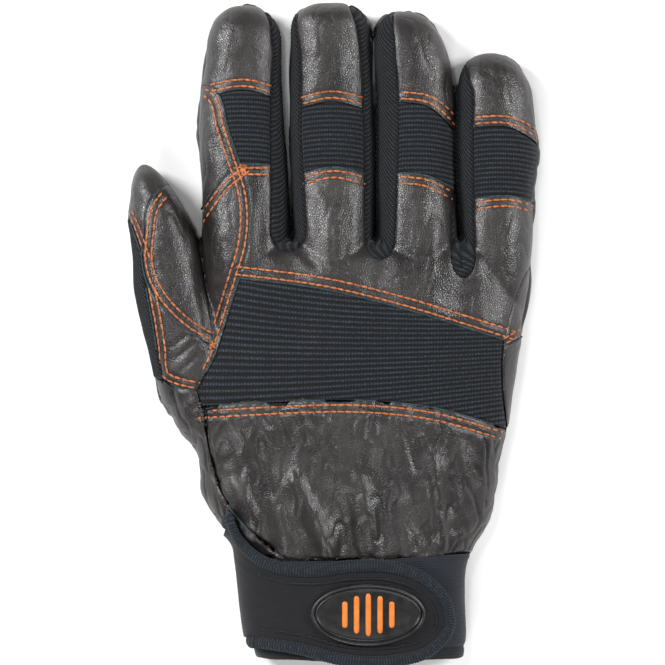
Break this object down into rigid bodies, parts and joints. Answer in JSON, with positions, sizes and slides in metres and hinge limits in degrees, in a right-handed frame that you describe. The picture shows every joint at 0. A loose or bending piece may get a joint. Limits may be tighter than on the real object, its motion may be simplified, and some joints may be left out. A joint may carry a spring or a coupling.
{
  "type": "climbing glove",
  "caption": "Full-finger climbing glove for the right hand, dark leather and ribbed stretch panels with orange stitching, wrap-over wrist strap with an oval rubber badge.",
  "frame": {"origin": "centre of the glove's bounding box in plan, on the plane the palm lies on", "axes": "+X towards the little-finger side, +Y towards the fingertips, +Z out of the back of the hand"},
  "size_m": [0.1423, 0.2271, 0.0305],
  "materials": {
    "palm_leather": "matte",
    "back_leather": "satin",
    "stretch_knit": "matte",
    "black_knit": "matte",
    "neoprene": "matte",
    "elastic": "matte",
    "strap_jersey": "matte",
    "binding": "matte",
    "badge_rubber": "satin",
    "orange_rubber": "satin"
  },
  "bodies": {
    "root": {"back_leather": "back_leather", "badge": "badge_rubber", "badge_ridge_1": "orange_rubber", "badge_ridge_2": "orange_rubber", "badge_ridge_3": "orange_rubber", "badge_ridge_4": "orange_rubber", "badge_ridge_5": "orange_rubber", "cuff": "neoprene", "cuff_hem": "elastic", "fourchette_index_middle": "black_knit", "fourchette_middle_ring": "black_knit", "fourchette_ring_little": "black_knit", "hand_stretch": "stretch_knit", "index_cap": "back_leather", "index_side_lower": "palm_leather", "index_side_upper": "palm_leather", "index_stretch": "stretch_knit", "knuckle_leather": "back_leather", "little_cap": "back_leather", "little_stretch": "stretch_knit", "middle_cap": "back_leather", "middle_stretch": "stretch_knit", "outer_side_lower": "palm_leather", "outer_side_upper": "palm_leather", "palm_leather": "palm_leather", "ring_cap": "back_leather", "ring_stretch": "stretch_knit", "strap": "strap_jersey", "strap_binding": "binding", "thumb_base": "palm_leather", "thumb_front_leather": "palm_leather", "thumb_gusset": "palm_leather", "thumb_mesh": "black_knit", "thumb_oval": "back_leather", "thumb_tip": "palm_leather"}
  },
  "joints": []
}
